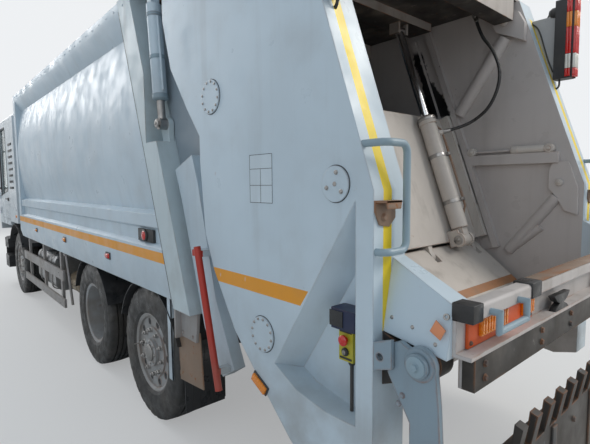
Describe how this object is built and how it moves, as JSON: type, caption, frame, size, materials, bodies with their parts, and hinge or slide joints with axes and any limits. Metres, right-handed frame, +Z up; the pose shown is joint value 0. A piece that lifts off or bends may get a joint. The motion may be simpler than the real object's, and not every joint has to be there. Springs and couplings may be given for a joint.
{
  "type": "rear-loading garbage truck",
  "caption": "Three-axle refuse truck with bowed load body, raising tailgate, packer carriage and blade, bin lift, tilting cab, doors and steered wheels.",
  "frame": {"origin": "on the ground, under the middle of the whole truck's box", "axes": "+X forward, +Y to the truck's left, +Z up"},
  "size_m": [9.32, 2.88, 3.274],
  "materials": {
    "chassis_grey": "satin chassis paint",
    "body_white": "gloss white paint",
    "inner_grey": "worn white paint with grease",
    "chrome_rod": "ground chrome",
    "tyre": "road tyre rubber",
    "rim": "silver paint",
    "black_plastic": "grained",
    "grey_plastic": "grained",
    "glass": "clear",
    "tank": "brushed",
    "engine": "painted casting",
    "red": "red paint",
    "hose_rubber": "hydraulic hose",
    "fabric": "woven",
    "lamp": "lamp lens"
  },
  "bodies": {
    "chassis": {"frame_rails": "chassis_grey", "leaf_springs": "chassis_grey", "front_axle": "chassis_grey", "rear_axles": "chassis_grey", "engine_block": "engine", "tanks": "tank", "side_guards": "grey_plastic", "mudguards": "black_plastic", "front_bumper": "grey_plastic", "body_floor": "chassis_grey", "body_front_wall": "body_white", "body_roof": "body_white", "body_rear_frame": "body_white", "body_side_left": "body_white", "body_side_right": "body_white"},
    "ejector": {"ejector_panel": "inner_grey"},
    "tailgate": {"tailgate_side_left": "body_white", "tailgate_side_right": "body_white", "tailgate_hopper": "body_white", "tailgate_top": "body_white", "rear_lamps": "lamp", "grab_handles": "grey_plastic", "control_box": "black_plastic", "safety_strut": "red", "bin_lift_supports": "body_white", "carriage_rods": "chrome_rod", "hose_left": "hose_rubber", "hose_right": "hose_rubber"},
    "carriage": {"carriage": "inner_grey", "carriage_barrels": "inner_grey"},
    "blade": {"packer_blade": "inner_grey"},
    "lift_barrels": {"lift_barrels": "body_white"},
    "lift_rods": {"lift_rods": "chrome_rod"},
    "bin_lift": {"bin_lift": "chassis_grey"},
    "cab": {"cab_floor": "body_white", "cab_back_wall": "body_white", "cab_roof": "body_white", "cab_front_panel": "body_white", "cab_glass": "glass", "cab_sides": "body_white", "cab_seats": "fabric", "cab_dash": "black_plastic"},
    "door_left": {"cab_door_left": "body_white", "mirror_left": "black_plastic"},
    "knuckle_left": {"knuckle_left": "chassis_grey"},
    "front_wheel_left": {"front_tyre_left": "tyre", "front_rim_left": "rim"},
    "drive_wheels_left": {"drive_tyres_left": "tyre", "drive_rims_left": "rim"},
    "tag_wheel_left": {"tag_tyre_left": "tyre", "tag_rim_left": "rim"},
    "door_right": {"cab_door_right": "body_white", "mirror_right": "black_plastic"},
    "knuckle_right": {"knuckle_right": "chassis_grey"},
    "front_wheel_right": {"front_tyre_right": "tyre", "front_rim_right": "rim"},
    "drive_wheels_right": {"drive_tyres_right": "tyre", "drive_rims_right": "rim"},
    "tag_wheel_right": {"tag_tyre_right": "tyre", "tag_rim_right": "rim"}
  },
  "joints": [
    {"name": "tailgate_raise", "type": "hinge", "parent": "chassis", "child": "tailgate", "pos_m": [-2.00248, 0, 3.232], "axis": [0, 1, 0], "range_deg": [0, 75]},
    {"name": "lift_barrel_swing", "type": "hinge", "parent": "tailgate", "child": "lift_barrels", "pos_m": [-2.29, 0, 3.05], "axis": [0, 1, 0], "range_deg": [-75.08, 0.01]},
    {"name": "lift_rod_slide", "type": "slide", "parent": "lift_barrels", "child": "lift_rods", "axis": [-0.0937, 0, -0.9956], "range_m": [0, 0.4144]},
    {"name": "carriage_slide", "type": "slide", "parent": "tailgate", "child": "carriage", "axis": [0.3387, 0, 0.9409], "range_m": [0, 0.7]},
    {"name": "blade_swing", "type": "hinge", "parent": "carriage", "child": "blade", "pos_m": [-3.46, 0, 1.25], "axis": [0, 1, 0], "range_deg": [-25, 35]},
    {"name": "bin_lift_swing", "type": "hinge", "parent": "tailgate", "child": "bin_lift", "pos_m": [-4.4, 0, 1.178], "axis": [0, 1, 0], "range_deg": [0, 120]},
    {"name": "ejector_slide", "type": "slide", "parent": "chassis", "child": "ejector", "axis": [-1, 0, 0], "range_m": [0, 3.9]},
    {"name": "cab_tilt", "type": "hinge", "parent": "chassis", "child": "cab", "pos_m": [4.515, 0, 1.04], "axis": [0, 1, 0], "range_deg": [0, 50]},
    {"name": "door_left", "type": "hinge", "parent": "cab", "child": "door_left", "pos_m": [4.48, 1.252, 2], "axis": [0, 0, -1], "range_deg": [0, 70]},
    {"name": "steer_left", "type": "hinge", "parent": "chassis", "child": "knuckle_left", "pos_m": [3.28, 0.82, 0.515], "axis": [0, 0, 1], "range_deg": [-35, 35]},
    {"name": "front_wheel_left", "type": "hinge", "parent": "knuckle_left", "child": "front_wheel_left", "pos_m": [3.28, 1.042, 0.515], "axis": [0, 1, 0], "continuous": true},
    {"name": "drive_wheels_left", "type": "hinge", "parent": "chassis", "child": "drive_wheels_left", "pos_m": [-0.62, 1.042, 0.515], "axis": [0, 1, 0], "continuous": true},
    {"name": "tag_wheel_left", "type": "hinge", "parent": "chassis", "child": "tag_wheel_left", "pos_m": [-2.01, 1.042, 0.515], "axis": [0, 1, 0], "continuous": true},
    {"name": "door_right", "type": "hinge", "parent": "cab", "child": "door_right", "pos_m": [4.48, -1.252, 2], "axis": [0, 0, 1], "range_deg": [0, 70]},
    {"name": "steer_right", "type": "hinge", "parent": "chassis", "child": "knuckle_right", "pos_m": [3.28, -0.82, 0.515], "axis": [0, 0, 1], "range_deg": [-35, 35]},
    {"name": "front_wheel_right", "type": "hinge", "parent": "knuckle_right", "child": "front_wheel_right", "pos_m": [3.28, -1.042, 0.515], "axis": [0, 1, 0], "continuous": true},
    {"name": "drive_wheels_right", "type": "hinge", "parent": "chassis", "child": "drive_wheels_right", "pos_m": [-0.62, -1.042, 0.515], "axis": [0, 1, 0], "continuous": true},
    {"name": "tag_wheel_right", "type": "hinge", "parent": "chassis", "child": "tag_wheel_right", "pos_m": [-2.01, -1.042, 0.515], "axis": [0, 1, 0], "continuous": true}
  ],
  "couplings": [
    {"joint": "lift_barrel_swing", "follows": "tailgate_raise", "ratio": -1.0009},
    {"joint": "lift_rod_slide", "follows": "tailgate_raise", "m_per_rad": 0.3165},
    {"joint": "steer_right", "follows": "steer_left", "ratio": 1}
  ]
}
